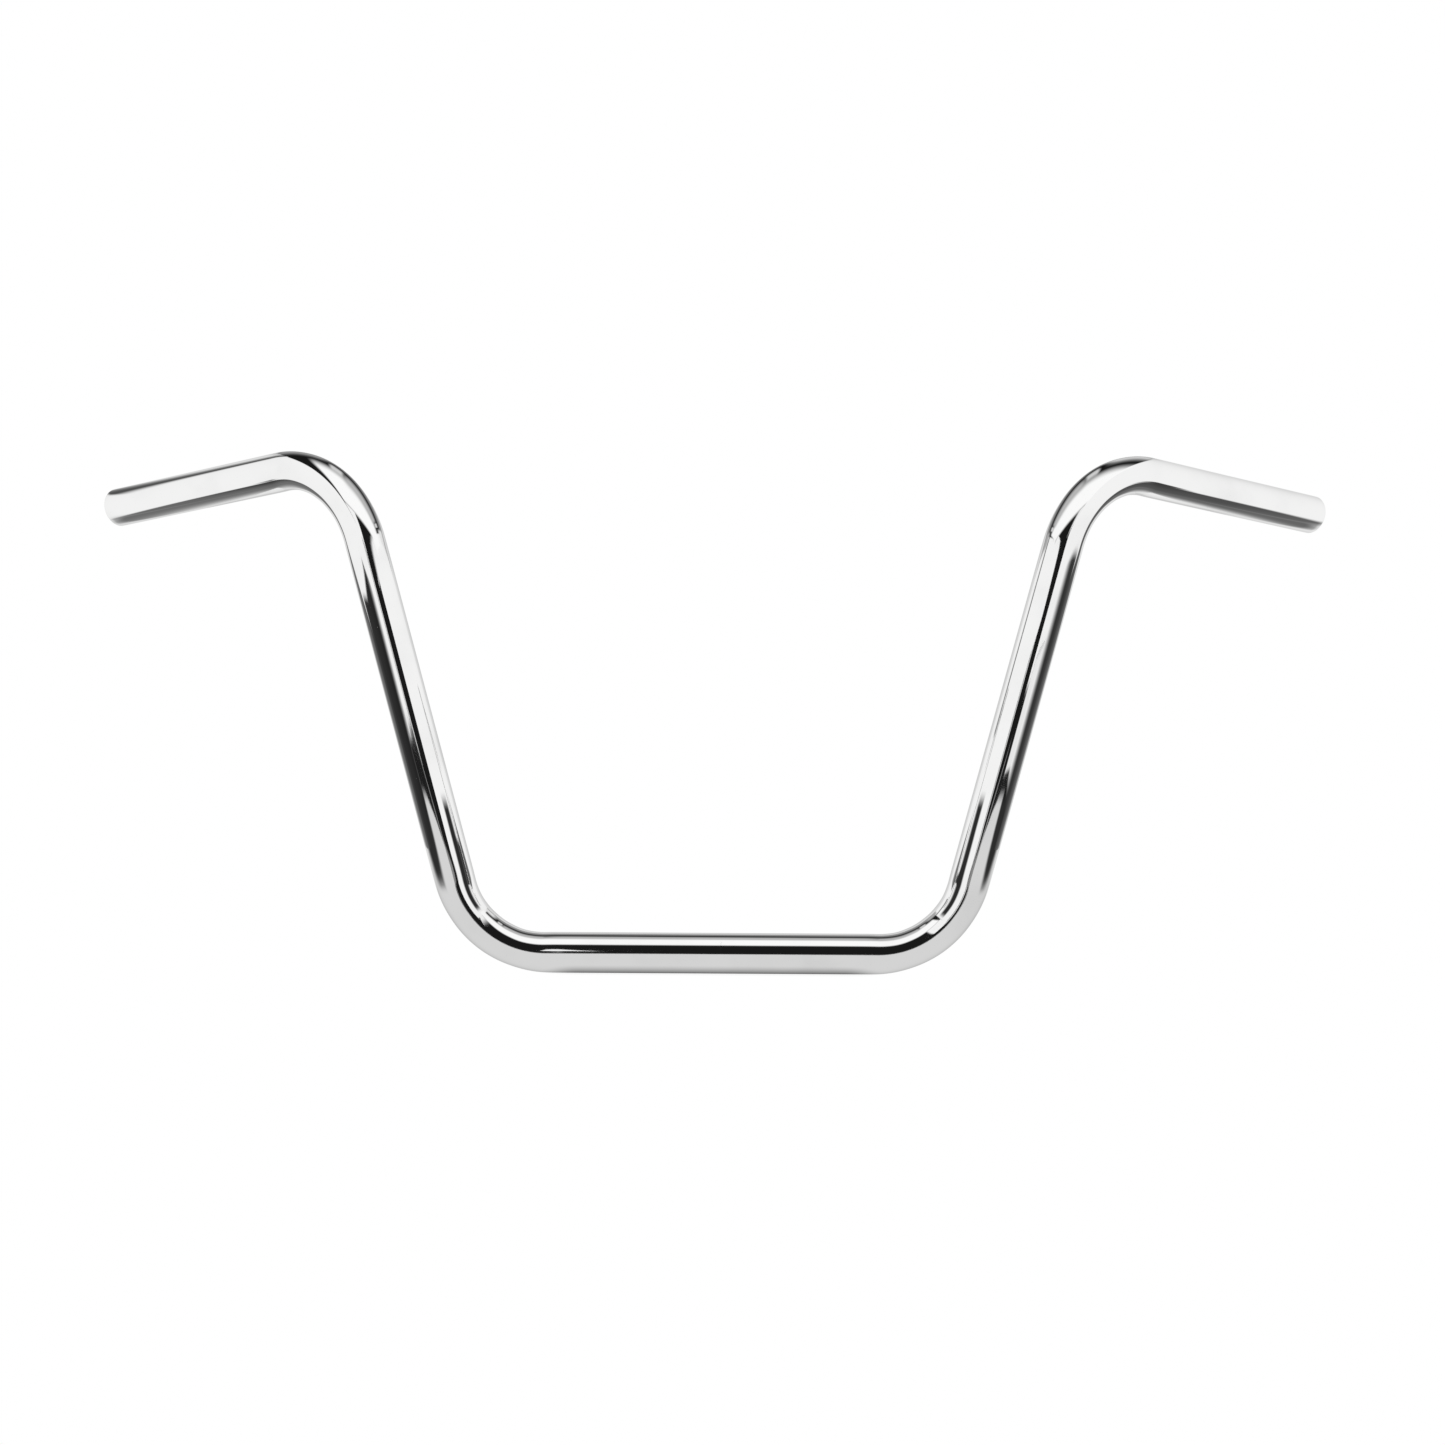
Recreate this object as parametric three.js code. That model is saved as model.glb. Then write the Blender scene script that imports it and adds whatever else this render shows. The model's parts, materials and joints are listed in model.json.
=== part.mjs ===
// Motorcycle handlebar of the "mini ape hanger" pattern: one steel tube, bent four times and
// chromed, open at both ends.
//
// Millimetres. +Z is up and +Y points back, towards the rider. The rider faces -Y, so +X is
// on the rider's left. The origin is the middle of the clamp zone's underside, the place
// where the bar lies in its risers.

import * as THREE from "three";

// The tube
const TUBE_OD = 25.4;
const WALL = 2.5;
const BEND_RADIUS = 60; // to the centreline

// The centreline's straights, measured between the corners where they would meet unbent
const BASE_WIDTH = 298;
const TOP_WIDTH = 466;
const RISE = 309;
const GRIP_REACH = 174; // outwards, along X
const GRIP_PULLBACK = 114; // back towards the rider, along +Y
const GRIP_DROP = 20; // down from the upper corner to the end

// How finely the round shapes are divided
const SIDES = 32;
const BEND_STEPS = 8;

// The corners of the centreline, from the end at -X to the end at +X.
function centrelineCorners() {
  const baseHeight = TUBE_OD / 2;
  const upperHeight = baseHeight + RISE;
  const leftHalf = [
    new THREE.Vector3(BASE_WIDTH / 2, 0, baseHeight),
    new THREE.Vector3(TOP_WIDTH / 2, 0, upperHeight),
    new THREE.Vector3(TOP_WIDTH / 2 + GRIP_REACH, GRIP_PULLBACK, upperHeight - GRIP_DROP),
  ];
  const mirrorInX = new THREE.Vector3(-1, 1, 1);
  const rightHalf = leftHalf.map((corner) => corner.clone().multiply(mirrorInX));
  return [...rightHalf.reverse(), ...leftHalf];
}

// A centreline of straights joined by arcs. The sweep has one step along each straight and
// BEND_STEPS steps around each arc, so every straight stays exactly straight.
class BentTubeCentreline extends THREE.Curve {
  constructor(corners, bendRadius) {
    super();
    this.stations = [];
    this.addEnd(corners[0], corners[1], corners[0]);
    for (let i = 1; i < corners.length - 1; i += 1) {
      this.addBend(corners[i - 1], corners[i], corners[i + 1], bendRadius);
    }
    this.addEnd(corners.at(-2), corners.at(-1), corners.at(-1));
  }

  get steps() {
    return this.stations.length - 1;
  }

  addEnd(from, to, point) {
    const tangent = new THREE.Vector3().subVectors(to, from).normalize();
    this.stations.push({ point: point.clone(), tangent });
  }

  // Adds the stations of the arc that rounds one corner.
  addBend(before, corner, after, radius) {
    const arriving = new THREE.Vector3().subVectors(corner, before).normalize();
    const leaving = new THREE.Vector3().subVectors(after, corner).normalize();
    const turn = arriving.angleTo(leaving);
    const axis = new THREE.Vector3().crossVectors(arriving, leaving).normalize();
    const inward = new THREE.Vector3().crossVectors(axis, arriving);
    const cutBack = radius * Math.tan(turn / 2);
    const centre = corner.clone().addScaledVector(arriving, -cutBack).addScaledVector(inward, radius);
    for (let step = 0; step <= BEND_STEPS; step += 1) {
      const angle = (turn * step) / BEND_STEPS;
      const spoke = inward.clone().negate().applyAxisAngle(axis, angle);
      const point = centre.clone().addScaledVector(spoke, radius);
      const tangent = arriving.clone().applyAxisAngle(axis, angle);
      this.stations.push({ point, tangent });
    }
  }

  // Even spacing along the sweep means one step for each station, not equal lengths.
  getUtoTmapping(u) {
    return u;
  }

  getPoint(t, target = new THREE.Vector3()) {
    return target.copy(this.stations[Math.round(t * this.steps)].point);
  }

  // Section frames without twist, carried outwards both ways from the clamp zone. There the
  // normal is +Y and the binormal +Z, so one flat of the section faces straight down.
  computeFrenetFrames() {
    const tangents = this.stations.map((station) => station.tangent);
    const normals = new Array(tangents.length);
    const middle = Math.floor(this.steps / 2);
    normals[middle] = new THREE.Vector3(0, 1, 0);
    const carry = new THREE.Quaternion();
    for (let i = middle + 1; i < tangents.length; i += 1) {
      carry.setFromUnitVectors(tangents[i - 1], tangents[i]);
      normals[i] = normals[i - 1].clone().applyQuaternion(carry);
    }
    for (let i = middle - 1; i >= 0; i -= 1) {
      carry.setFromUnitVectors(tangents[i + 1], tangents[i]);
      normals[i] = normals[i + 1].clone().applyQuaternion(carry);
    }
    const binormals = tangents.map((tangent, i) => new THREE.Vector3().crossVectors(tangent, normals[i]));
    return { tangents, normals, binormals };
  }
}

// The corners of a regular polygon with a flat at the bottom, given its width across flats.
function polygon(acrossFlats) {
  const cornerRadius = acrossFlats / 2 / Math.cos(Math.PI / SIDES);
  const corners = [];
  for (let i = 0; i < SIDES; i += 1) {
    const angle = ((i + 0.5) * 2 * Math.PI) / SIDES;
    corners.push(new THREE.Vector2(Math.cos(angle), Math.sin(angle)).multiplyScalar(cornerRadius));
  }
  return corners;
}

// The tube's ring-shaped cross-section.
function tubeSection() {
  const section = new THREE.Shape(polygon(TUBE_OD));
  section.holes.push(new THREE.Path(polygon(TUBE_OD - 2 * WALL)));
  return section;
}

function handlebarTube() {
  const centreline = new BentTubeCentreline(centrelineCorners(), BEND_RADIUS);
  const geometry = new THREE.ExtrudeGeometry(tubeSection(), {
    extrudePath: centreline,
    steps: centreline.steps,
    bevelEnabled: false,
  });
  const chrome = new THREE.MeshStandardMaterial({ color: 0xdfe1e3, roughness: 0.05, metalness: 1 });
  const tube = new THREE.Mesh(geometry, chrome);
  tube.name = "handlebar_tube";
  return tube;
}

const handlebar = new THREE.Group();
handlebar.add(handlebarTube());

export default handlebar;
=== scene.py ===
"""A chromed motorcycle handlebar, bent from one tube, in a small white studio.

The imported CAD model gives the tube's thickness and where its ends are. The corners between them
follow from the same driving sizes as in the CAD. This script sweeps a fine tube along that
centreline and adds what a real bent tube has: bends that flatten a little, polished edges, and a
bore whose plating thins out with depth.
Lengths in the constants are millimetres; Blender's are metres.
"""

import json
import math

import bpy
import numpy as np
from mathutils import Matrix, Vector


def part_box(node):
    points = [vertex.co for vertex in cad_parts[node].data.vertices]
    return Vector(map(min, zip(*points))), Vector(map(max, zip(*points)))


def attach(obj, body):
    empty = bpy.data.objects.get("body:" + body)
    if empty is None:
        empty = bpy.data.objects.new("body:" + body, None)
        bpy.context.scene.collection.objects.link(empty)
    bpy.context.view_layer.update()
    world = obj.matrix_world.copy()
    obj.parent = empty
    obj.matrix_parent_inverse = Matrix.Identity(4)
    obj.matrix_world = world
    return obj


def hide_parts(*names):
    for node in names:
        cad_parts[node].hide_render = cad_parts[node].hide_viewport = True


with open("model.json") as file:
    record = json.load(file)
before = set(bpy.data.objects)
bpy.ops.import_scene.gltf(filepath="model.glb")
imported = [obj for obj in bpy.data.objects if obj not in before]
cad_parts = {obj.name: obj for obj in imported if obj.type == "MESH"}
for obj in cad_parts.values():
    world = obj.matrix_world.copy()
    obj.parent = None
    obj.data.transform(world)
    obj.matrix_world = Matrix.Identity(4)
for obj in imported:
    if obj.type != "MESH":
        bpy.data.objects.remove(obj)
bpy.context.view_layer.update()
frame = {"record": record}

MM = 0.001
CAD_NODE = "handlebar_tube"

# The tube and its corners, as in the CAD model
WALL = 2.5
BASE_WIDTH = 298
TOP_WIDTH = 466
RISE = 309
BEND_RADIUS = 60

# What bending adds to the plain tube
FLATTENING = 0.055  # share by which a bend narrows the tube, towards the bend's centre
SPREADING = 0.02  # share by which it widens the tube the other way
FLATTENING_RAMP = 28  # length over which the section changes at each end of a bend
RAMP_START = 6  # the change starts this far before the bend
RIPPLE_HEIGHT = 0.03  # waves left on the inside of a bend
RIPPLE_LENGTH = 16

# The cut ends and the bore
OUTER_EDGE = 0.8  # radius of the polished edge
INNER_EDGE = 0.4
RIM_SHARES = (0.15, 0.5, 0.85)  # where the flat of the rim has its rings, from outside to inside
WELD_HEIGHT = 0.35  # the tube's weld seam, seen inside the bore
WELD_ANGLE = math.radians(205)
WELD_SPREAD = 0.09  # how far round the bore it reaches to each side, in radians

# How finely the tube is divided
SIDES = 128
STRAIGHT_STEP = 4.5
BEND_STEP = 1.5
BORE_STRIDE = 4  # the bore has one ring for this many outside
EDGE_STEPS = 6


# ---- the centreline ----

def unit(vector):
    return vector / np.linalg.norm(vector)


def smooth_step(x):
    """From 0 to 1 as x goes from 0 to 1, level at both ends."""
    x = np.clip(x, 0, 1)
    return x * x * (3 - 2 * x)


def end_centre(mount, tube_radius):
    """The middle of a cut end, whose mount point is half-way through the wall at the top."""
    axis = unit(np.array(mount["axis"], float))
    uphill = unit(np.array([0, 0, 1]) - axis * axis[2])
    return np.array(mount["pos_m"]) / MM - uphill * (tube_radius - WALL / 2)


def centreline_corners(tube_radius):
    """Where the straights would meet unbent, from the end at -X to the end at +X."""
    mounts = {mount["name"]: mount for mount in frame["record"]["mounts"]}
    base = np.array([BASE_WIDTH / 2, 0, tube_radius])
    top = np.array([TOP_WIDTH / 2, 0, tube_radius + RISE])
    end = end_centre(mounts["rider_left_end"], tube_radius)
    mirror_in_x = np.array([-1, 1, 1])
    return [end * mirror_in_x, top * mirror_in_x, base * mirror_in_x, base, top, end]


class Centreline:
    """Straights joined by arcs, as stations that each have a point and a direction."""

    def __init__(self, corners):
        self.points = []
        self.tangents = []
        self.bends = []  # (first station, last station)
        self.spokes = {}  # station in a bend: the direction of the bend's centre
        start = corners[0]
        self.add_station(start, unit(corners[1] - start))
        for before, corner, after in zip(corners, corners[1:], corners[2:]):
            start = self.add_corner(start, before, corner, after)
        self.add_straight(start, corners[-1])
        self.add_station(corners[-1], unit(corners[-1] - start))
        self.points = np.array(self.points)
        self.tangents = np.array(self.tangents)
        gaps = np.linalg.norm(np.diff(self.points, axis=0), axis=1)
        self.lengths = np.concatenate([[0], np.cumsum(gaps)])

    def add_station(self, point, tangent):
        self.points.append(point)
        self.tangents.append(tangent)

    def add_straight(self, start, end):
        """Adds the stations between start and end, without the two themselves."""
        steps = round(np.linalg.norm(end - start) / STRAIGHT_STEP)
        for step in range(1, steps):
            self.add_station(start + (end - start) * step / steps, unit(end - start))

    def add_corner(self, start, before, corner, after):
        """Adds the straight up to a bend and the bend itself. Returns where the bend ends."""
        arriving = unit(corner - before)
        leaving = unit(after - corner)
        turn = math.acos(arriving @ leaving)
        inward = unit(leaving - arriving * (arriving @ leaving))
        cut_back = BEND_RADIUS * math.tan(turn / 2)
        bend_start = corner - arriving * cut_back
        centre = bend_start + inward * BEND_RADIUS
        self.add_straight(start, bend_start)
        first = len(self.points)
        steps = round(BEND_RADIUS * turn / BEND_STEP)
        for step in range(steps + 1):
            angle = turn * step / steps
            spoke = inward * math.cos(angle) - arriving * math.sin(angle)
            self.spokes[len(self.points)] = spoke
            tangent = arriving * math.cos(angle) + inward * math.sin(angle)
            self.add_station(centre - spoke * BEND_RADIUS, tangent)
        self.bends.append((first, first + steps))
        return corner + leaving * cut_back

    def section_axes(self):
        """Two directions across each station, carried without twist from the clamp zone."""
        across = np.zeros_like(self.points)
        middle = len(self.points) // 2
        across[middle] = [0, 1, 0]
        for i in range(middle + 1, len(self.points)):
            across[i] = unit(self.level(across[i - 1], i))
        for i in range(middle - 1, -1, -1):
            across[i] = unit(self.level(across[i + 1], i))
        return across, np.cross(self.tangents, across)

    def level(self, direction, i):
        """The part of a direction that lies across a station."""
        return direction - self.tangents[i] * (direction @ self.tangents[i])

    def length(self):
        return float(self.lengths[-1])

    def clamp_half_length(self):
        """From the middle of the clamp zone to where the first bend on the +X side starts."""
        first_of_bend, _ = self.bends[len(self.bends) // 2]
        return float(self.points[first_of_bend][0])


# ---- the tube's surface ----

def side_angles():
    return np.arange(SIDES) * 2 * math.pi / SIDES


def bend_effects(line):
    """For each bend: how strongly it acts at each station, and where its centre lies from there."""
    effects = []
    for first, last in line.bends:
        from_start = line.lengths - line.lengths[first] + RAMP_START
        from_end = line.lengths[last] - line.lengths + RAMP_START
        strength = smooth_step(from_start / FLATTENING_RAMP) * smooth_step(from_end / FLATTENING_RAMP)
        spokes = [line.spokes[min(max(i, first), last)] for i in range(len(line.points))]
        effects.append((strength, np.array(spokes)))
    return effects


def ring_offsets(line, axes, effects, station, radius):
    """The section of a given radius at a station: vectors from the centreline."""
    angles = side_angles()
    across, over = axes
    ring = np.outer(np.cos(angles), across[station]) + np.outer(np.sin(angles), over[station])
    offsets = ring * radius
    for strength, spokes in effects:
        amount = strength[station]
        if amount == 0:
            continue
        spoke = spokes[station]
        side = np.cross(line.tangents[station], spoke)
        inward = offsets @ spoke
        offsets = offsets - np.outer(inward, spoke) * FLATTENING * amount
        offsets = offsets + np.outer(offsets @ side, side) * SPREADING * amount
        wave = math.sin(line.lengths[station] * 2 * math.pi / RIPPLE_LENGTH)
        inside_of_bend = np.clip(ring @ spoke, 0, 1) ** 2
        offsets = offsets + ring * (inside_of_bend * wave * RIPPLE_HEIGHT * amount)[:, None]
    return offsets


def edge_profile(tube_radius, bore_radius):
    """The cut end from outside to inside, as (radius, distance beyond the end plane)."""
    profile = []
    for step in range(EDGE_STEPS + 1):
        angle = math.pi / 2 * step / EDGE_STEPS
        radius = tube_radius - OUTER_EDGE * (1 - math.cos(angle))
        profile.append((radius, OUTER_EDGE * (math.sin(angle) - 1)))
    outer_rim = tube_radius - OUTER_EDGE
    inner_rim = bore_radius + INNER_EDGE
    for share in RIM_SHARES:
        profile.append((outer_rim + (inner_rim - outer_rim) * share, 0))
    for step in range(EDGE_STEPS + 1):
        angle = math.pi / 2 * step / EDGE_STEPS
        radius = inner_rim - INNER_EDGE * math.sin(angle)
        profile.append((radius, INNER_EDGE * (math.cos(angle) - 1)))
    return profile


def weld_bead():
    """How far the weld seam stands in from the bore, around the section."""
    return WELD_HEIGHT * np.exp(-((side_angles() - WELD_ANGLE) / WELD_SPREAD) ** 2)


class TubeSurface:
    """Rings of vertices that go along the outside, round one end, back along the bore, and round
    the other end to where they began.
    """

    def __init__(self, line, tube_radius):
        self.line = line
        self.axes = line.section_axes()
        self.effects = bend_effects(line)
        self.rings = []
        self.inside = []  # whether each ring is in the bore
        self.straightened = []  # each vertex's place on the tube before it was bent
        bore_radius = tube_radius - WALL
        last = len(line.points) - 1
        profile = edge_profile(tube_radius, bore_radius)
        for station in range(1, last):
            self.add_ring(station, tube_radius)
        for radius, beyond in profile:
            self.add_ring(last, radius, beyond)
        for station in range(last - 1, 0, -BORE_STRIDE):
            self.add_ring(station, bore_radius, inside=True)
        for radius, beyond in reversed(profile):
            self.add_ring(0, radius, -beyond)

    def add_ring(self, station, radius, shift=0, inside=False):
        offsets = ring_offsets(self.line, self.axes, self.effects, station, radius)
        if inside:
            offsets = offsets * (1 - weld_bead() / radius)[:, None]
        tangent = self.line.tangents[station]
        self.rings.append(self.line.points[station] + tangent * shift + offsets)
        self.inside.append(inside)
        angles = side_angles()
        along = np.full(SIDES, self.line.lengths[station] + shift)
        place = np.stack([radius * np.cos(angles), radius * np.sin(angles), along], axis=1)
        self.straightened.append(place)

    def faces(self):
        """Quads between neighbouring rings, and for each whether it is in the bore."""
        quads = []
        in_bore = []
        count = len(self.rings)
        for ring in range(count):
            following = (ring + 1) % count
            for side in range(SIDES):
                beside = (side + 1) % SIDES
                corners = ((ring, side), (ring, beside), (following, beside), (following, side))
                quads.append([r * SIDES + s for r, s in corners])
                in_bore.append(self.inside[ring] or self.inside[following])
        return quads, in_bore


def add_vector_attribute(mesh, name, values):
    attribute = mesh.attributes.new(name, "FLOAT_VECTOR", "POINT")
    attribute.data.foreach_set("vector", np.asarray(values, np.float32).ravel())


def add_object(name, mesh):
    thing = bpy.data.objects.new(name, mesh)
    bpy.context.scene.collection.objects.link(thing)
    return thing


def build_tube(line, tube_radius, materials):
    """The bar itself: one closed surface, with one material outside and one in the bore."""
    surface = TubeSurface(line, tube_radius)
    quads, in_bore = surface.faces()
    vertices = np.concatenate(surface.rings) * MM
    mesh = bpy.data.meshes.new("bent_tube")
    mesh.from_pydata(vertices.tolist(), [], quads)
    for material in materials:
        mesh.materials.append(material)
    mesh.polygons.foreach_set("material_index", [int(inner) for inner in in_bore])
    mesh.polygons.foreach_set("use_smooth", [True] * len(quads))
    add_vector_attribute(mesh, "straightened", np.concatenate(surface.straightened))
    mesh.update()
    tube = add_object("bent_tube", mesh)
    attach(tube, "root")
    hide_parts(CAD_NODE)


# ---- materials ----

class Shader:
    """A material's nodes, with a short call for each kind that is used here."""

    def __init__(self, name):
        self.material = bpy.data.materials.new(name)
        self.material.use_nodes = True
        self.tree = self.material.node_tree
        self.tree.nodes.clear()

    def node(self, kind, inputs=None, **settings):
        made = self.tree.nodes.new(kind)
        for name, value in settings.items():
            setattr(made, name, value)
        for name, value in (inputs or {}).items():
            self.feed(made.inputs[name], value)
        return made

    def feed(self, socket, value):
        """Gives an input a fixed value, or links it to another node's output."""
        if isinstance(value, bpy.types.NodeSocket):
            self.tree.links.new(value, socket)
        else:
            socket.default_value = value

    def math(self, operation, first, second=0.0):
        return self.node("ShaderNodeMath", {0: first, 1: second}, operation=operation).outputs[0]

    def fade(self, value, start, end, low=0.0, high=1.0):
        """Low below start, high above end, and a smooth change between them."""
        inputs = {"Value": value, "From Min": start, "From Max": end, "To Min": low, "To Max": high}
        return self.node("ShaderNodeMapRange", inputs, interpolation_type="SMOOTHSTEP").outputs[0]

    def mix(self, share, first, second):
        """A colour between first and second."""
        inputs = {0: share, 6: first, 7: second}  # 6 and 7 are a colour mix's two colours
        return self.node("ShaderNodeMix", inputs, data_type="RGBA").outputs[2]

    def stretched(self, vector, factors):
        inputs = {0: vector, 1: factors}
        return self.node("ShaderNodeVectorMath", inputs, operation="MULTIPLY").outputs[0]

    def noise(self, vector, size, detail=2.0):
        """Noise from 0 to 1 whose blotches are about as large as size."""
        inputs = {"Vector": vector, "Scale": 1 / size, "Detail": detail}
        return self.node("ShaderNodeTexNoise", inputs).outputs["Fac"]

    def bump(self, height, depth, below=None):
        """Surface normals for a height from 0 to 1, times a depth in millimetres."""
        inputs = {"Height": height, "Distance": depth * MM, "Strength": 1.0}
        if below is not None:
            inputs["Normal"] = below
        return self.node("ShaderNodeBump", inputs).outputs[0]

    def straightened(self):
        """Millimetres across and along the tube, as it was before bending."""
        return self.node("ShaderNodeAttribute", attribute_name="straightened").outputs["Vector"]

    def metal(self, colour, roughness, normal, **more):
        inputs = {"Base Color": colour, "Metallic": 1.0, "Roughness": roughness, "Normal": normal}
        inputs.update(more)
        return self.surface(self.node("ShaderNodeBsdfPrincipled", inputs).outputs[0])

    def surface(self, output):
        """Ends the material with its surface."""
        self.node("ShaderNodeOutputMaterial", {"Surface": output})
        return self.material


def grey(level):
    return (level, level, level, 1.0)


# Scales for marks that run round the tube and along it: two across the tube, then one along it
ROUND_THE_TUBE = (0.15, 0.15, 4.0)
ALONG_THE_TUBE = (4.0, 4.0, 0.12)

# The chrome
CHROME_TINT = (0.796, 0.796, 0.794, 1.0)
CHROME_HAZE = (0.748, 0.748, 0.746, 1.0)
CHROME_EDGE = grey(0.7)  # how much is left of the shine at a glancing angle
MIRROR_ROUGHNESS = 0.018
HAZE_SIZE = 45
HAZE_RANGE = (0.45, 0.75)  # the noise levels from clear to hazy
HAZE_ROUGHNESS = 0.03
POLISH_SIZE = 2.5
POLISH_ROUGHNESS = 0.03
PIT_SPACING = 6
PIT_EDGE = (0.02, 0.035)  # a pit's floor and its rim, as shares of the spacing
PIT_ROUGHNESS = 0.3
WAVE_SIZE = 28
WAVE_DEPTH = 0.03
PEEL_SIZE = 1.6
PEEL_DEPTH = 0.0006


def chrome():
    """Bright chrome: a mirror with faint haze, traces of polishing round the tube and tiny pits."""
    shader = Shader("polished_chrome")
    place = shader.straightened()
    haze = shader.fade(shader.noise(place, HAZE_SIZE, detail=4), *HAZE_RANGE)
    polishing = shader.noise(shader.stretched(place, ROUND_THE_TUBE), POLISH_SIZE, detail=3)
    cells = shader.node("ShaderNodeTexVoronoi", {"Vector": place, "Scale": 1 / PIT_SPACING})
    pits = shader.fade(cells.outputs["Distance"], *PIT_EDGE, 1, 0)
    roughness = shader.math("ADD", shader.math("MULTIPLY", haze, HAZE_ROUGHNESS), MIRROR_ROUGHNESS)
    roughness = shader.math("ADD", roughness, shader.math("MULTIPLY", polishing, POLISH_ROUGHNESS))
    roughness = shader.math("ADD", roughness, shader.math("MULTIPLY", pits, PIT_ROUGHNESS))
    colour = shader.mix(haze, CHROME_TINT, CHROME_HAZE)
    waves = shader.bump(shader.noise(place, WAVE_SIZE, detail=1), WAVE_DEPTH)
    peel = shader.bump(shader.noise(place, PEEL_SIZE, detail=1), PEEL_DEPTH, waves)
    return shader.metal(colour, roughness, peel, **{"Specular Tint": CHROME_EDGE})


# The bore, with depths from the nearer end
NICKEL = (0.56, 0.53, 0.47, 1.0)
BARE_STEEL = (0.23, 0.215, 0.20, 1.0)
RUST = (0.17, 0.075, 0.035, 1.0)
CHROME_TO_NICKEL = (14, 30)
NICKEL_TO_STEEL = (34, 75)
BRIGHT_TO_DULL = (8, 60)
PLATED_ROUGHNESS = 0.09
STEEL_ROUGHNESS = 0.48
BORDER_SIZE = 7  # of the lobes where one metal gives way to the next
BORDER_REACH = 14
DRAWN_SIZE = 2.0  # of the lines left by drawing the tube
DRAWN_ROUGHNESS = 0.12
DRAWN_DEPTH = 0.02
RUST_SIZE = 3.0
RUST_RANGE = (0.58, 0.72)


def bore_finish(tube_length):
    """Inside the tube the chrome thins out to nickel, then to drawn steel with specks of rust."""
    shader = Shader("plating_in_bore")
    place = shader.straightened()
    from_one_end = shader.node("ShaderNodeSeparateXYZ", {0: place}).outputs[2]
    from_other_end = shader.math("SUBTRACT", tube_length, from_one_end)
    depth = shader.math("MINIMUM", from_one_end, from_other_end)
    border = shader.math("MULTIPLY", shader.noise(place, BORDER_SIZE, detail=4), BORDER_REACH)
    depth = shader.math("ADD", depth, border)
    drawn = shader.noise(shader.stretched(place, ALONG_THE_TUBE), DRAWN_SIZE, detail=3)
    specks = shader.fade(shader.noise(place, RUST_SIZE, detail=5), *RUST_RANGE)
    steel = shader.mix(specks, BARE_STEEL, RUST)
    plating = shader.mix(shader.fade(depth, *CHROME_TO_NICKEL), CHROME_TINT, NICKEL)
    colour = shader.mix(shader.fade(depth, *NICKEL_TO_STEEL), plating, steel)
    roughness = shader.fade(depth, *BRIGHT_TO_DULL, PLATED_ROUGHNESS, STEEL_ROUGHNESS)
    roughness = shader.math("ADD", roughness, shader.math("MULTIPLY", drawn, DRAWN_ROUGHNESS))
    return shader.metal(colour, roughness, shader.bump(drawn, DRAWN_DEPTH))


# ---- the camera ----

CAMERA_DISTANCE = 1300
CAMERA_HEIGHT = 157.5
CAMERA_SHIFT = 6  # to the viewer's right of the middle
CAMERA_ROLL = 0.006
LENS = 51.61
SENSOR = 36


def build_camera():
    """A camera that looks level along +Y at the front of the bar."""
    data = bpy.data.cameras.new("camera")
    data.lens = LENS
    data.sensor_width = SENSOR
    camera = add_object("camera", data)
    place = Matrix.Translation(Vector((CAMERA_SHIFT, -CAMERA_DISTANCE, CAMERA_HEIGHT)) * MM)
    level = Matrix.Rotation(math.pi / 2, 4, "X")
    camera.matrix_world = place @ level @ Matrix.Rotation(CAMERA_ROLL, 4, "Z")
    bpy.context.scene.camera = camera


# ---- the studio: panels and cards ----

# A room of soft white panels and dark cards round the bar. Only the chrome sees them.
ROOM_HALF_WIDTH = 450
ROOM_FRONT = -2200
ROOM_BACK = 600
ROOM_HEIGHT = 540
BELOW_FLOOR = -50  # where cards that reach the floor end
ABOVE_CEILING = ROOM_HEIGHT + 60
LAYER = 2  # a panel that covers another hangs this far in front of it

WHITE_PANEL = 1.12
DARK_ROOM = 0.012
SOFT_EDGE = 22
CARD_EDGE = 10


def left_wall(y, z, layer=0):
    return (layer * LAYER - ROOM_HALF_WIDTH, y, z)


def right_wall(y, z, layer=0):
    return (ROOM_HALF_WIDTH - layer * LAYER, y, z)


def back_wall(x, z, layer=0):
    return (x, ROOM_BACK - layer * LAYER, z)


def front_wall(x, z, layer=0):
    return (x, ROOM_FRONT + layer * LAYER, z)


def ceiling(x, y, layer=0):
    return (x, y, ROOM_HEIGHT - layer * LAYER)


def flat_mesh(name, corners):
    """One four-sided face, with UVs from 0 to 1 across it."""
    mesh = bpy.data.meshes.new(name)
    mesh.from_pydata([Vector(corner) * MM for corner in corners], [], [(0, 1, 2, 3)])
    uv = mesh.uv_layers.new(name="across")
    for loop, place in zip(uv.data, ((0, 0), (1, 0), (1, 1), (0, 1))):
        loop.uv = place
    return mesh


def edge_fade(shader, value, length, soft_edge):
    """One in the middle of a panel, falling smoothly to nothing at its two edges."""
    edge = min(soft_edge / length, 0.5)
    rising = shader.fade(value, 0, edge)
    falling = shader.fade(value, 1 - edge, 1, 1, 0)
    return shader.math("MULTIPLY", rising, falling)


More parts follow.
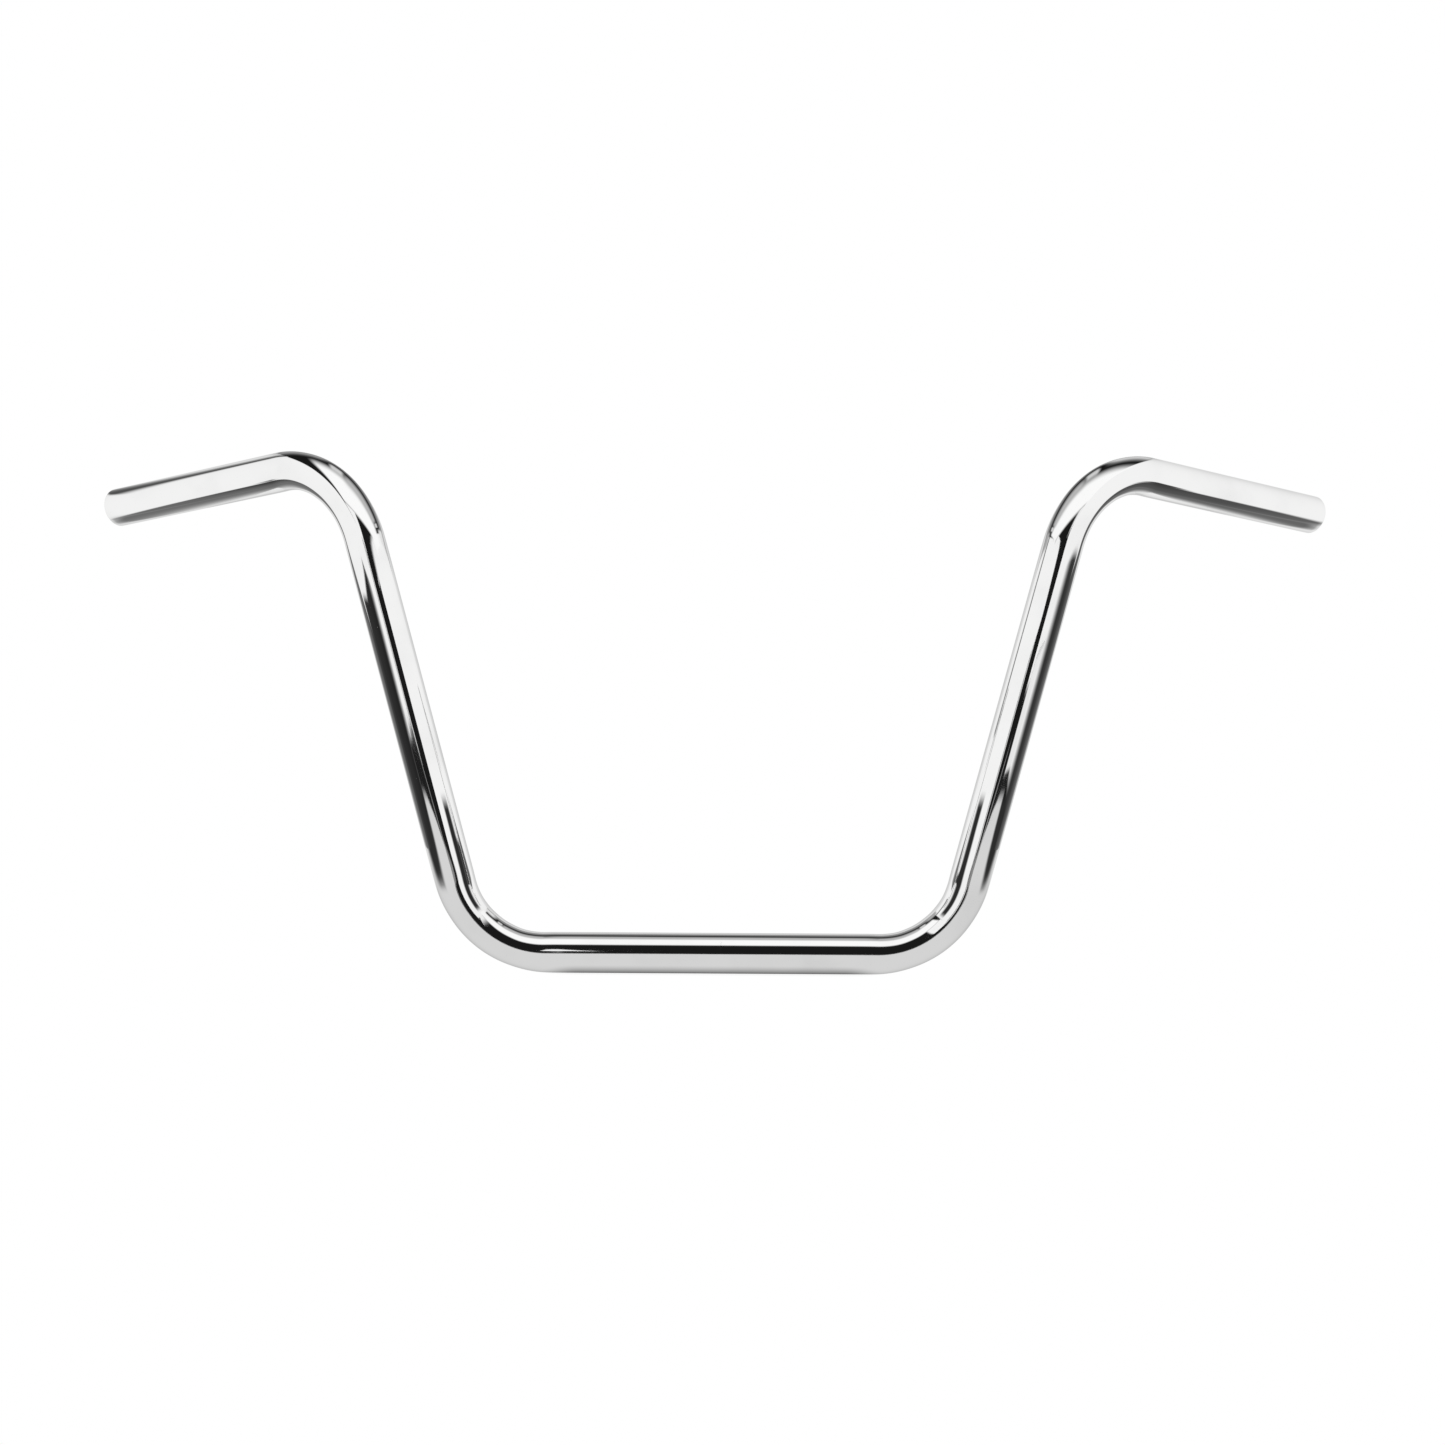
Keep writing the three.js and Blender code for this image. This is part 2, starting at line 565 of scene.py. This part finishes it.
def level_along_room(shader, levels):
    """Brightness that changes smoothly along Y, from pairs of a place and a share of white."""
    place = shader.node("ShaderNodeTexCoord").outputs["Object"]
    y = shader.node("ShaderNodeSeparateXYZ", {0: place}).outputs[1]
    first = levels[0][0]
    last = levels[-1][0]
    share = shader.node("ShaderNodeMapRange", {"Value": y, "From Min": first * MM, "From Max": last * MM})
    node = shader.node("ShaderNodeValToRGB", {"Fac": share.outputs[0]})
    ramp = node.color_ramp
    ramp.interpolation = "EASE"
    while len(ramp.elements) < len(levels):
        ramp.elements.new(1.0)
    for stop, (place, level) in zip(ramp.elements, levels):
        stop.position = (place - first) / (last - first)
        stop.color = grey(level)
    return shader.math("MULTIPLY", node.outputs["Color"], WHITE_PANEL)


def panel(name, corners, brightness=WHITE_PANEL, soft_ends=SOFT_EDGE, soft_sides=SOFT_EDGE):
    """A glowing panel with soft edges. Its brightness is one level, or pairs for level_along_room."""
    shader = Shader(name)
    first, second, _, fourth = [Vector(corner) for corner in corners]
    across = shader.node("ShaderNodeUVMap", uv_map="across").outputs[0]
    across = shader.node("ShaderNodeSeparateXYZ", {0: across})
    if isinstance(brightness, tuple):
        brightness = level_along_room(shader, brightness)
    glow = shader.node("ShaderNodeEmission", {"Color": grey(1.0), "Strength": brightness})
    clear = shader.node("ShaderNodeBsdfTransparent")
    ends = edge_fade(shader, across.outputs[0], (second - first).length, soft_ends)
    sides = edge_fade(shader, across.outputs[1], (fourth - first).length, soft_sides)
    both = {0: shader.math("MULTIPLY", ends, sides), 1: clear.outputs[0], 2: glow.outputs[0]}
    mesh = flat_mesh(name, corners)
    mesh.materials.append(shader.surface(shader.node("ShaderNodeMixShader", both).outputs[0]))
    screen = add_object(name, mesh)
    screen.visible_camera = False


def hang(name, wall, span, bottom, top, brightness=WHITE_PANEL, layer=0, **soft):
    """Hangs a panel on a wall. Bottom and top are its heights at the two ends of the span."""
    corners = [wall(span[0], bottom[0], layer), wall(span[1], bottom[1], layer),
               wall(span[1], top[1], layer), wall(span[0], top[0], layer)]
    panel(name, corners, brightness, **soft)


def overhead(name, corners, brightness=WHITE_PANEL, layer=0, **soft):
    """Hangs a level panel from the ceiling, given the X and Y of its corners."""
    panel(name, [ceiling(x, y, layer) for x, y in corners], brightness, **soft)


def rectangle(left, right, front, back):
    return ((left, front), (right, front), (right, back), (left, back))


# Dark cards stand low against each side wall. Their brightness depends only on the place along Y:
# white at the front and the back, and nearly black beside the bar.
LEFT_SHADE = ((-650, 1.0), (-270, 0.02), (-50, 0.03), (20, 0.05), (95, 0.155), (520, 1.0))
RIGHT_SHADE = ((-300, 1.0), (-80, 0.035), (-20, 0.045), (60, 0.09), (125, 0.15), (390, 1.0))

# Each card: name, span along Y, heights of the bottom and of the top at its two ends, soft edge.
# A later card covers an earlier one.
LEFT_CARDS = (
    ("left_low_front", (-650, -270), (96, 84), (240, 243), CARD_EDGE),
    ("left_low_middle", (-330, -90), (45, 0), (250, 200), CARD_EDGE),
    ("left_low", (-350, 30), (45, -45), (204, 202), CARD_EDGE),
    ("left_low_rise", (-20, 130), (BELOW_FLOOR, BELOW_FLOOR), (150, 276), 16),
    ("left_low_rear", (100, ROOM_BACK), (BELOW_FLOOR, BELOW_FLOOR), (280, 70), 30),
)
RIGHT_CARDS = (
    ("right_low", (-300, 25), (60, 20), (242, 236), CARD_EDGE),
    ("right_low_rise", (-20, 125), (BELOW_FLOOR, BELOW_FLOOR), (205, 295), 16),
    ("right_low_rear", (95, 440), (BELOW_FLOOR, BELOW_FLOOR), (285, 75), 30),
)

# A dark band high on the left wall, which darkens quickly at the front and fades slowly behind
LEFT_LINE = ((92, 1.0), (126, 0.09), (270, 1.0))
LINE_BOTTOM = 335


def build_cards(wall, cards, shade):
    """Stands the low cards against a wall, in front of its white panels."""
    for layer, (name, span, bottom, top, edge) in enumerate(cards, start=2):
        hang(name, wall, span, bottom, top, shade, layer, soft_sides=edge)


def build_left_wall():
    high = (ABOVE_CEILING, ABOVE_CEILING)
    hang("left_side", left_wall, (-2050, ROOM_BACK), (150, 40), high)
    hang("left_line", left_wall, (LEFT_LINE[0][0], LEFT_LINE[-1][0]), (LINE_BOTTOM, LINE_BOTTOM), high,
         LEFT_LINE, 1, soft_ends=5, soft_sides=CARD_EDGE)
    build_cards(left_wall, LEFT_CARDS, LEFT_SHADE)


def build_right_wall():
    high = (ABOVE_CEILING, ABOVE_CEILING)
    hang("right_side", right_wall, (-1430, ROOM_BACK), (176, 80), high)
    hang("right_low_white", right_wall, (-800, -80), (60, 60), (190, 168), 1.0, soft_ends=100,
         soft_sides=CARD_EDGE)
    build_cards(right_wall, RIGHT_CARDS, RIGHT_SHADE)


def build_ceiling():
    """White panels overhead: the brightest in front of the bar, dimmer ones over and behind it."""
    side = ROOM_HALF_WIDTH
    over_bar = ((-400, -500), (490, -500), (490, 50), (-320, 130))
    left_strip = ((-side, ROOM_FRONT), (-190, ROOM_FRONT), (-190, -430), (-400, -430))
    right_strip = ((255, -1450), (285, -1450), (490, -430), (255, -430))
    overhead("overhead", over_bar, 1.2, soft_ends=40, soft_sides=160)
    overhead("overhead_left", left_strip, layer=1)
    overhead("overhead_right", right_strip, layer=1)
    overhead("overhead_middle", rectangle(-190, 190, -100, 230), 0.6, 2, soft_ends=60, soft_sides=165)
    overhead("overhead_rear", rectangle(-side, side, 200, ROOM_BACK + 200), 0.42,
             soft_ends=40, soft_sides=350)
    overhead("overhead_rear_left", rectangle(-side, -220, 100, ROOM_BACK), 0.5, 3,
             soft_ends=60, soft_sides=200)
    overhead("overhead_rear_right", rectangle(240, side, 60, ROOM_BACK), 0.95, 3,
             soft_ends=60, soft_sides=220)
    for name, inner, outer in (("fork_left", -160, -235), ("fork_right", 160, 235)):
        overhead(name, rectangle(outer, inner, -20, 240), 0.8, 4, soft_ends=20, soft_sides=120)


def build_middle_card():
    """A dark card that stands between the uprights, edge-on to the camera."""
    front = -170
    back = -15
    bottom = 45
    top = 162
    corners = [(CAMERA_SHIFT, front, bottom), (CAMERA_SHIFT, back, bottom),
               (CAMERA_SHIFT, back, top), (CAMERA_SHIFT, front, top)]
    panel("middle_card", corners, 0.03, soft_ends=45, soft_sides=15)


def build_front_and_back():
    """A white backdrop behind the bar, and dimmer panels far in front of it."""
    side = ROOM_HALF_WIDTH
    backdrop_half_width = 1000
    hang("backdrop", back_wall, (-backdrop_half_width, backdrop_half_width), (0, 0),
         (ROOM_HEIGHT, ROOM_HEIGHT), 0.95)
    hang("front_left", front_wall, (-side, -260), (135, 135), (ROOM_HEIGHT, ROOM_HEIGHT), 0.75)
    hang("front_low_left", front_wall, (-side, 15), (100, -20), (160, 85), 0.3)
    hang("front_low_right", front_wall, (-15, side), (-20, 100), (85, 160), 0.3)


# ---- the studio: floor and surroundings ----

FLOOR_SIZE = 12000
FLOOR_CLEARANCE = 0.2

# The painted shadow where the clamp zone lies on the floor
CONTACT_REACH = 14
CONTACT_SHARE = 0.8  # the share of the clamp zone's length along which the shadow is full
CONTACT_TAPER = 0.5  # how fast it closes beyond that
CONTACT_LEVEL = 0.25  # under the clamp zone, as the chrome sees it
CONTACT_LEVEL_SEEN = 0.9  # and as the camera sees it

# The painted lit part of the floor, as the chrome sees it
SHEET_LEVEL = 0.82
SHEET_BRIGHTENS = (140, 280)  # along Y, from SHEET_LEVEL to WHITE_PANEL
SHEET_EDGE = (560, 640)  # to each side
SHEET_NARROWS_FROM = 900  # in front of the bar
SHEET_NARROWS = 0.15  # at each side, for each millimetre nearer the camera
BEYOND_SHEET = 0.02

# Painted shade on the floor on each side of the bar, where the low cards shade the lit sheet. It is
# widest beside the bar, and narrows towards the camera and behind the bar.
SIDE_SHADE_LEVEL = 0.04
PATCH_BEFORE = (265, 385)  # from the middle: where it starts and where it is darkest
PATCH_BEHIND = (60, 420)  # the same, where it narrows behind the bar
PATCH_FRONT_LEFT = 110  # how far in front of the bar it starts to narrow
PATCH_FRONT_RIGHT = 60
PATCH_SLOPE_LEFT = 0.7  # how fast it narrows there
PATCH_SLOPE_RIGHT = 0.85
PATCH_BACK = -20  # where it starts to narrow towards the back
PATCH_SLOPE_BACK = 1.5


def contact_distance(shader, aside, along_room, clamp_half_length):
    """How far a place on the floor is from the line where the clamp zone touches it."""
    beyond_clamp = shader.math("SUBTRACT", aside, CONTACT_SHARE * clamp_half_length * MM)
    beyond_clamp = shader.math("MAXIMUM", beyond_clamp, 0.0)
    beyond_clamp = shader.math("MULTIPLY", beyond_clamp, CONTACT_TAPER)
    away = shader.node("ShaderNodeCombineXYZ", {0: beyond_clamp, 1: along_room}).outputs[0]
    return shader.node("ShaderNodeVectorMath", {0: away}, operation="LENGTH").outputs["Value"]


def lit_sheet(shader, aside, along_room):
    """The brightness of the painted lit part of the floor, which ends softly at each side."""
    towards_camera = shader.math("SUBTRACT", -SHEET_NARROWS_FROM * MM, along_room)
    towards_camera = shader.math("MAXIMUM", towards_camera, 0.0)
    outward = shader.math("ADD", aside, shader.math("MULTIPLY", towards_camera, SHEET_NARROWS))
    inside = shader.fade(outward, SHEET_EDGE[0] * MM, SHEET_EDGE[1] * MM, 1, BEYOND_SHEET)
    start, end = SHEET_BRIGHTENS
    sheet = shader.fade(along_room, start * MM, end * MM, SHEET_LEVEL, WHITE_PANEL)
    return shader.math("MULTIPLY", sheet, inside)


def painted_side_shade(shader, across, aside, along_room):
    """The share of light left on the floor beside the bar, in the painted shade of the low cards."""
    on_left = shader.math("LESS_THAN", across, 0.0)
    front = shader.fade(on_left, 0, 1, PATCH_FRONT_RIGHT * MM, PATCH_FRONT_LEFT * MM)
    slope = shader.fade(on_left, 0, 1, PATCH_SLOPE_RIGHT, PATCH_SLOPE_LEFT)
    before = shader.math("MINIMUM", shader.math("ADD", along_room, front), 0.0)
    before = shader.math("ADD", aside, shader.math("MULTIPLY", before, slope))
    behind = shader.math("MAXIMUM", shader.math("SUBTRACT", along_room, PATCH_BACK * MM), 0.0)
    behind = shader.math("SUBTRACT", aside, shader.math("MULTIPLY", behind, PATCH_SLOPE_BACK))
    # mask of the painted shade beside the bar
    in_side_shade = shader.math("MULTIPLY", shader.fade(before, PATCH_BEFORE[0] * MM, PATCH_BEFORE[1] * MM),
                           shader.fade(behind, PATCH_BEHIND[0] * MM, PATCH_BEHIND[1] * MM))
    return shader.fade(in_side_shade, 0, 1, 1, SIDE_SHADE_LEVEL)


def build_floor(clamp_half_length):
    """A white floor that glows instead of being lit, so all its light and shade is painted. The camera
    sees it white with a faint painted contact shadow; in the chrome it is a painted lit sheet with
    painted shade beside the bar and under the clamp zone, and the dark room beyond it.
    """
    shader = Shader("white_floor")
    place = shader.node("ShaderNodeTexCoord").outputs["Object"]
    place = shader.node("ShaderNodeSeparateXYZ", {0: place})
    across = place.outputs[0]
    along_room = place.outputs[1]
    aside = shader.math("ABSOLUTE", across)

    away = contact_distance(shader, aside, along_room, clamp_half_length)
    contact = shader.fade(away, 0, CONTACT_REACH * MM, CONTACT_LEVEL, 1)
    # painted light for the chrome: the lit sheet, times painted shade beside the bar and the painted
    # contact shadow
    reflected = shader.math("MULTIPLY", lit_sheet(shader, aside, along_room),
                            painted_side_shade(shader, across, aside, along_room))
    reflected = shader.math("MULTIPLY", reflected, contact)
    # painted contact shadow, faint, as the camera sees the floor
    seen = shader.fade(away, 0, CONTACT_REACH * MM, CONTACT_LEVEL_SEEN, 1)
    by_camera = shader.node("ShaderNodeLightPath").outputs["Is Camera Ray"]
    level = shader.node("ShaderNodeMix", {0: by_camera, 2: reflected, 3: seen}).outputs[0]
    glow = shader.node("ShaderNodeEmission", {"Color": grey(1.0), "Strength": level})

    half = FLOOR_SIZE / 2
    corners = [(x, y, -FLOOR_CLEARANCE) for x, y in rectangle(-half, half, -half, half)]
    mesh = flat_mesh("floor", corners)
    mesh.materials.append(shader.surface(glow.outputs[0]))
    add_object("floor", mesh)


def build_world():
    """White for the camera, and a dark room for reflections."""
    world = bpy.data.worlds.new("dark_room")
    bpy.context.scene.world = world
    world.use_nodes = True
    nodes = world.node_tree.nodes
    path = nodes.new("ShaderNodeLightPath")
    level = nodes.new("ShaderNodeMapRange")
    level.inputs["To Min"].default_value = DARK_ROOM
    level.inputs["To Max"].default_value = 1.0
    background = nodes["Background"]
    world.node_tree.links.new(path.outputs["Is Camera Ray"], level.inputs["Value"])
    world.node_tree.links.new(level.outputs[0], background.inputs["Color"])


def build_studio(clamp_half_length):
    build_floor(clamp_half_length)
    build_left_wall()
    build_right_wall()
    build_ceiling()
    build_middle_card()
    build_front_and_back()
    build_world()


low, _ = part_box(CAD_NODE)
tube_radius = -low.y / MM  # the clamp zone runs along X, so the node's front is the tube's
line = Centreline(centreline_corners(tube_radius))
build_tube(line, tube_radius, [chrome(), bore_finish(line.length())])
build_studio(line.clamp_half_length())
build_camera()
bpy.context.scene.view_settings.view_transform = "Standard"
